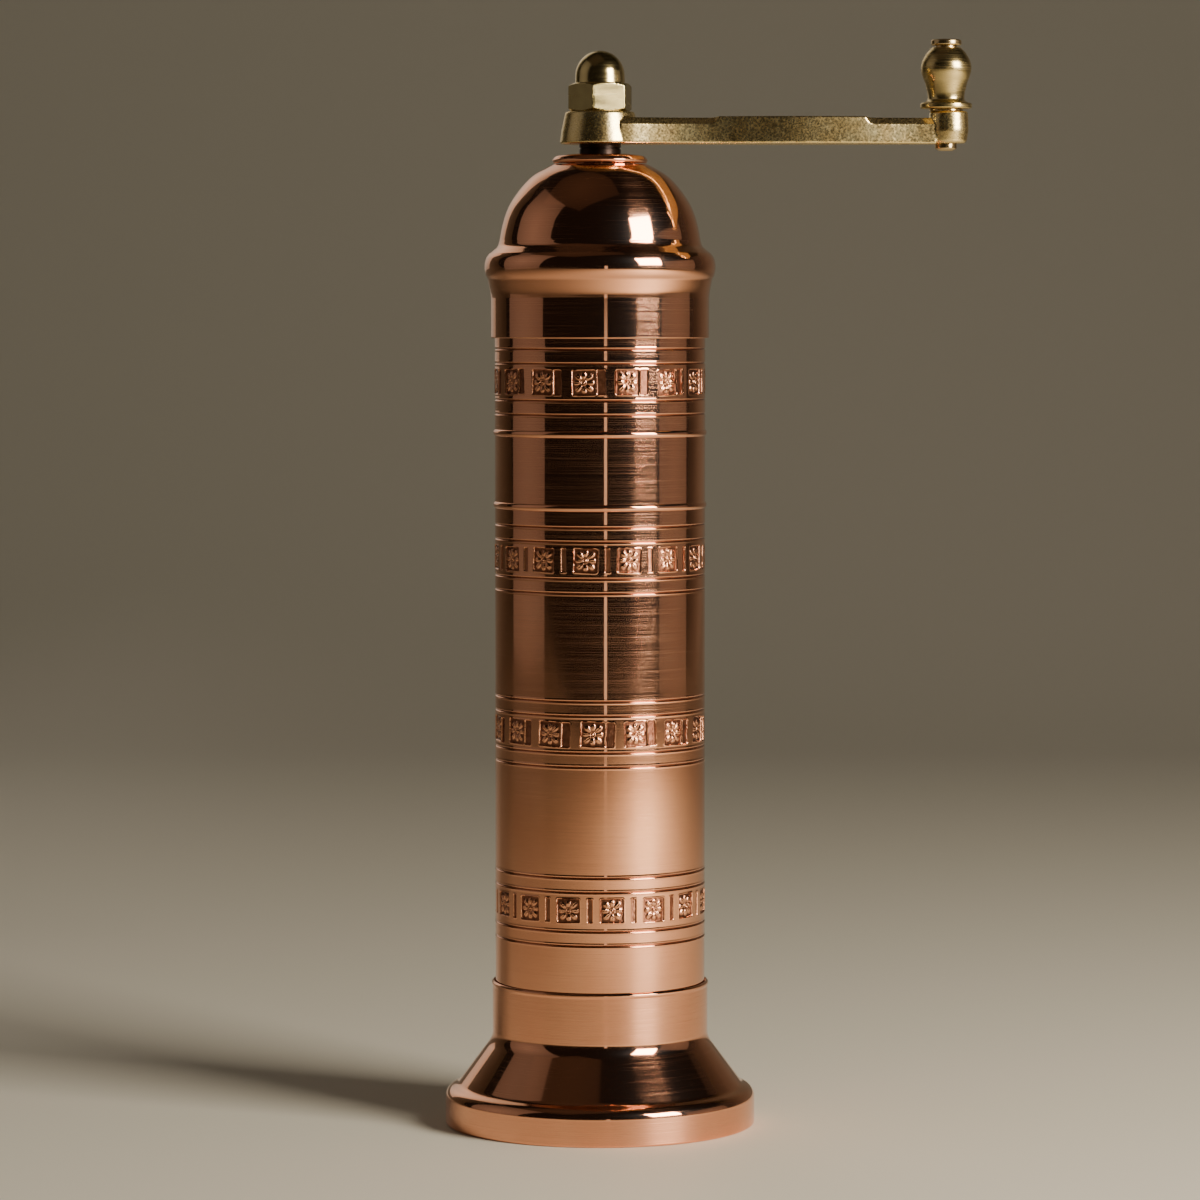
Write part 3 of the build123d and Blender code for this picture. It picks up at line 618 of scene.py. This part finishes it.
def build_crank():
    """The casting: hub, arm and boss as overlapping closed forms, fused and softened like a sand casting."""
    z_low = CRANK_LOW.z
    side = spline_path(ARM_SIDE, per_span=10)
    xs = np.array([p[0] for p in side])
    ws = np.array([p[1] for p in side])
    middle = smooth((xs - 25.2) / 1.6) * (1 - smooth((xs - 59.6) / 1.2))
    top = z_low + 5.85 + 0.28 * middle
    chamfer = 1.5 - 1.15 * middle
    sections = []
    for x, w, t, c in zip(xs, ws, top, chamfer):
        half = ((w - 0.3, z_low), (w, z_low + 0.3), (w - 0.12, t - c), (w - 0.85 * c, t))
        loop = list(half) + [(-y, z) for y, z in reversed(half)]
        sections.append(np.array([(x, y, z) for y, z in loop]))
    arm_points, arm_faces = ring_surface(sections, closed=False)
    size = len(sections[0])
    arm_faces += [list(range(size)), list(range(len(arm_points) - size, len(arm_points)))[::-1]]
    hub = fillet_path((
        (4.0, z_low), (9.1, z_low, 0.45), (8.7, 225.1, 2.0), (7.8, 229.4, 0.6), (4.0, 229.4),
    ))
    boss = fillet_path((
        (1.8, 222.25), (4.0, 222.25, 0.9), (4.5, 225.1, 3.0), (4.35, 229.48, 0.6), (1.8, 229.48),
    ))
    parts = [(arm_points, arm_faces), lathe(hub, 192), lathe(boss, SMALL, BOSS_X)]
    points, faces = [], []
    for p, f in parts:
        start = sum(len(q) for q in points)
        points.append(p)
        faces += [[start + i for i in face] for face in f]
    arm = make_piece("crank_arm", np.vstack(points), faces, M_CAST, "crank", ("crank_arm",))
    fuse(arm, 0.2, 2)
    roughen(arm, 0.003, 0.6, 11)


def fuse(piece, voxel, rounds):
    """Fuses overlapping closed forms into one skin and softens its edges."""
    remesh = piece.modifiers.new("fuse", "REMESH")
    remesh.mode = "VOXEL"
    remesh.voxel_size = voxel * MM
    remesh.use_smooth_shade = True
    soften = piece.modifiers.new("soften", "SMOOTH")
    soften.factor = 0.5
    soften.iterations = rounds
    apply_modifiers(piece)


def apply_modifiers(piece):
    graph = bpy.context.evaluated_depsgraph_get()
    graph.update()
    made = bpy.data.meshes.new_from_object(piece.evaluated_get(graph), depsgraph=graph)
    material = piece.data.materials[0]
    piece.modifiers.clear()
    piece.data = made
    if not made.materials:
        made.materials.append(material)
    made.polygons.foreach_set("use_smooth", [True] * len(made.polygons))


def roughen(piece, amount, size, seed):
    """Moves the skin in and out by a smooth random field, amount and size in mm."""
    mesh = piece.data
    points = np.empty(len(mesh.vertices) * 3)
    mesh.vertices.foreach_get("co", points)
    points = points.reshape(-1, 3)
    normals = np.empty(len(mesh.vertices) * 3)
    mesh.vertices.foreach_get("normal", normals)
    normals = normals.reshape(-1, 3)
    rng = np.random.default_rng(seed)
    field = np.zeros(len(points))
    waves = 28
    for _ in range(waves):
        wave = rng.normal(0, 1, 3)
        wave *= 2 * math.pi / (size * MM * rng.uniform(0.8, 2.6)) / np.linalg.norm(wave)
        field += np.sin(points @ wave + rng.uniform(0, 2 * math.pi))
    field *= amount * MM / math.sqrt(waves / 2)
    mesh.vertices.foreach_set("co", (points + normals * field[:, None]).ravel())
    mesh.update()


# ================================================================ domed nut
def build_nut():
    """A hexagon with turned chamfers and a domed cap, from one polar outline."""
    low, hex_top, flat = 229.4, 235.7, 6.5
    bore, bore_top, dome_r = 3.9, 238.5, 5.57
    columns = 360
    angle = np.arange(columns) * (2 * math.pi / columns)
    away = np.mod(angle - math.radians(17.7), math.pi / 3) - math.pi / 6
    hexagon = flat / np.cos(away)
    corner = flat / math.cos(math.pi / 6)
    rings = [ring_points(bore, low, columns), ring_points(5.9, low, columns)]
    for z in np.concatenate((np.linspace(low, low + 0.7, 6), np.linspace(hex_top - 1.0, hex_top, 8))):
        cone = corner - 0.06 + (min(z - low, hex_top - z) - 0.62) * 1.75
        rings.append(ring_points(np.minimum(hexagon, cone), z, columns))
    shoulder = fillet_path(((5.9, hex_top), (5.65, hex_top + 0.06, 0.2), (dome_r, hex_top + 1.7)))
    dome = [(dome_r * math.cos(t), hex_top + 1.7 + 5.7 * math.sin(t)) for t in np.linspace(0.06, 1.45, 22)]
    rings += [ring_points(r, z, columns) for r, z in shoulder + dome]
    tip = len(rings)
    rings.append(ring_points(0.12, hex_top + 7.4, columns))
    points, faces = ring_surface(rings, closed=False)
    count = len(points)
    points = np.vstack((points, ring_points(bore, bore_top, columns)))
    faces += join_rings(0, columns, count, columns)
    faces.append(list(range(count, count + columns)))
    faces.append(list(range(tip * columns, (tip + 1) * columns)))
    nut = make_piece("acorn_nut", points, faces, M_NUT, "crank", ("acorn_nut",), sharp=24)
    # The hex flats take the darker copy of the brass: painted shade.
    nut.data.materials.append(M_HEX_SHADED)
    second_material_by_height(nut, lambda r, z: (z < hex_top - 0.35) & (r > 5.0))


# ================================================================ knob and its pin
def build_knob():
    bore, low, high = 2.5, 230.05, 243.75
    flange = fillet_path((
        (bore, low), (5.84, low, 0.35), (5.84, 231.3, 0.35), (5.1, 231.4, 0.25), (4.55, 231.7),
    ))
    body = spline_path((
        (4.55, 231.7), (4.2, 232.1), (4.14, 232.9), (4.38, 234.3), (4.85, 236.1), (5.3, 237.3), (5.62, 238.4),
        (5.7, 239.3), (5.5, 240.5), (5.0, 241.6), (4.3, 242.7), (3.75, 243.3), (3.3, high),
    ), per_span=5)[1:]
    points, faces = lathe(flange + body + [(bore, high)], 160, KNOB_X)
    make_piece("knob", points, faces, M_KNOB, "knob", ("knob",))


def build_pin():
    r, low, head = 2.45, PIN_LOW.z, 244.2
    corners = (
        (0.0, low), (1.6, low, 0.3), (r, low + 0.5, 0.3), (r, head), (3.2, head, 0.15),
        (3.45, head + 0.3, 0.3), (3.45, 245.4, 0.35), (3.0, 245.58, 0.4), (0.0, 245.7),
    )
    points, faces = lathe(fillet_path(corners, step=12), SMALL, KNOB_X)
    make_piece("knob_pin", points, faces, M_PIN, "crank", ("knob_pin",))


def build_knob_washer():
    corners = ((2.45, 229.5), (3.8, 229.5, 0.1), (3.8, 229.95, 0.1), (2.45, 229.95))
    points, faces = lathe(fillet_path(corners), SMALL, KNOB_X)
    make_piece("knob_washer", points, faces, M_PIN, "crank", ("knob_washer",))


# ================================================================ inner pieces that stay CAD
KEPT = {
    "base_plate": M_TIN, "seat_ring": M_RING, "burr_carrier": M_IRON, "stator_burr": M_BURR,
    "stator_screws": M_STEEL, "rotor_burr": M_BURR, "bridge_posts": M_STEEL, "bearing_bridge": M_STEEL,
    "bridge_screws": M_STEEL, "lock_nut": M_STEEL, "adjust_screw": M_STEEL, "adjust_wheel": M_RING,
    "thrust_pad": M_STEEL, "thrust_ball": M_STEEL, "shaft_guide": M_IRON, "guide_screws": M_STEEL,
    "bush_nut": M_RING, "drive_shaft": M_STEEL, "collar_pin": M_STEEL,
}


def finish_kept():
    for node, material in KEPT.items():
        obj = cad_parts[node]
        obj.data.materials.clear()
        obj.data.materials.append(material)


# ================================================================ stage, lights and camera
def stage_material():
    """Plain pale paper: one colour, with a faint fibre."""
    material, tree, shader = node_material("sweep", PAPER, metallic=0.0, roughness=0.6)
    fibres = noise(tree, 700, detail=3)
    bump(tree, shader, ((fibres, 0.05, 0.1),))
    return material


def build_stage():
    """Floor that curves up into a backdrop well behind the mill."""
    width, near, flat, radius, height = 3.0, -0.95, 0.9, 1.1, 2.6      # metres; width to each side
    turns = np.linspace(0, math.pi / 2, 25)
    line = [(near, 0.0), (-0.5, 0.0), (0.0, 0.0), (0.4, 0.0)]
    line += [(flat + radius * math.sin(t), radius - radius * math.cos(t)) for t in turns]
    line.append((flat + radius, height))
    verts = [(x, y, z) for y, z in line for x in (-width, width)]
    faces = [(2 * i, 2 * i + 1, 2 * i + 3, 2 * i + 2) for i in range(len(line) - 1)]
    mesh = bpy.data.meshes.new("sweep")
    mesh.from_pydata(verts, [], faces)
    mesh.polygons.foreach_set("use_smooth", [True] * len(mesh.polygons))
    mesh.materials.append(stage_material())
    sweep = bpy.data.objects.new("sweep", mesh)
    bpy.context.scene.collection.objects.link(sweep)


def area_light(name, azimuth, elevation, distance, width, height, glow, colour, spread=180):
    """A softbox aimed at the mill; azimuth 0 is the camera's side and grows to the right."""
    half = math.radians(spread) / 2
    narrowed = 1 - half / math.tan(half) if spread < 180 else 1.0
    light = bpy.data.lights.new(name, "AREA")
    light.shape = "RECTANGLE"
    light.size, light.size_y = width, height
    light.energy = glow * math.pi * width * height * narrowed
    light.color = colour
    light.spread = math.radians(spread)
    lamp = bpy.data.objects.new(name, light)
    a, e = math.radians(azimuth), math.radians(elevation)
    away = Vector((math.sin(a) * math.cos(e), -math.cos(a) * math.cos(e), math.sin(e)))
    lamp.location = LIGHT_AIM + away * distance
    lamp.rotation_mode = "QUATERNION"
    lamp.rotation_quaternion = (-away).to_track_quat("-Z", "Y")
    lamp.visible_camera = False
    bpy.context.scene.collection.objects.link(lamp)


def build_lights():
    """Seven softboxes: name, azimuth, elevation, distance, width, height, glow, colour, spread."""
    area_light("key", 51, 22, 0.85, 0.36, 0.40, 30.0, (1.0, 0.92, 0.82))
    area_light("strip", 6, -4.5, 1.5, 0.08, 0.36, 0.9, (1.0, 0.90, 0.76))
    area_light("left_fill", -86, 18, 1.3, 1.20, 1.8, 0.24, (1.0, 0.87, 0.79), 100)
    area_light("right_fill", 88, 5, 1.2, 0.90, 0.7, 0.22, (1.0, 0.84, 0.70), 100)
    area_light("back_fill", 135, 10, 1.3, 1.3, 1.0, 0.08, (1.0, 0.80, 0.62), 70)
    area_light("rim", -157, 24, 1.2, 0.60, 1.0, 0.85, (1.0, 0.90, 0.76), 70)
    area_light("top", -60, 72, 1.2, 1.1, 1.1, 0.042, (1.0, 0.70, 0.50), 100)
    world = bpy.data.worlds.new("room")
    world.use_nodes = True
    world.node_tree.nodes["Background"].inputs["Color"].default_value = (0.010, 0.008, 0.006, 1)
    bpy.context.scene.world = world


def build_camera():
    camera = bpy.data.cameras.new("camera")
    camera.sensor_width = 36
    camera.lens = LENS
    camera.clip_start = 0.01
    camera.clip_end = 20
    eye = bpy.data.objects.new("camera", camera)
    eye.location = EYE
    eye.rotation_euler = (math.radians(EYE_TILT), 0, 0)
    bpy.context.scene.collection.objects.link(eye)
    bpy.context.scene.camera = eye


# ================================================================ build
build_camera()
for index in range(len(BANDS)):
    tube_segment(index)
build_foot()
build_lid()
build_bush()
build_sleeve()
build_crank()
build_nut()
build_knob()
build_knob_washer()
build_pin()
finish_kept()
build_stage()
build_lights()
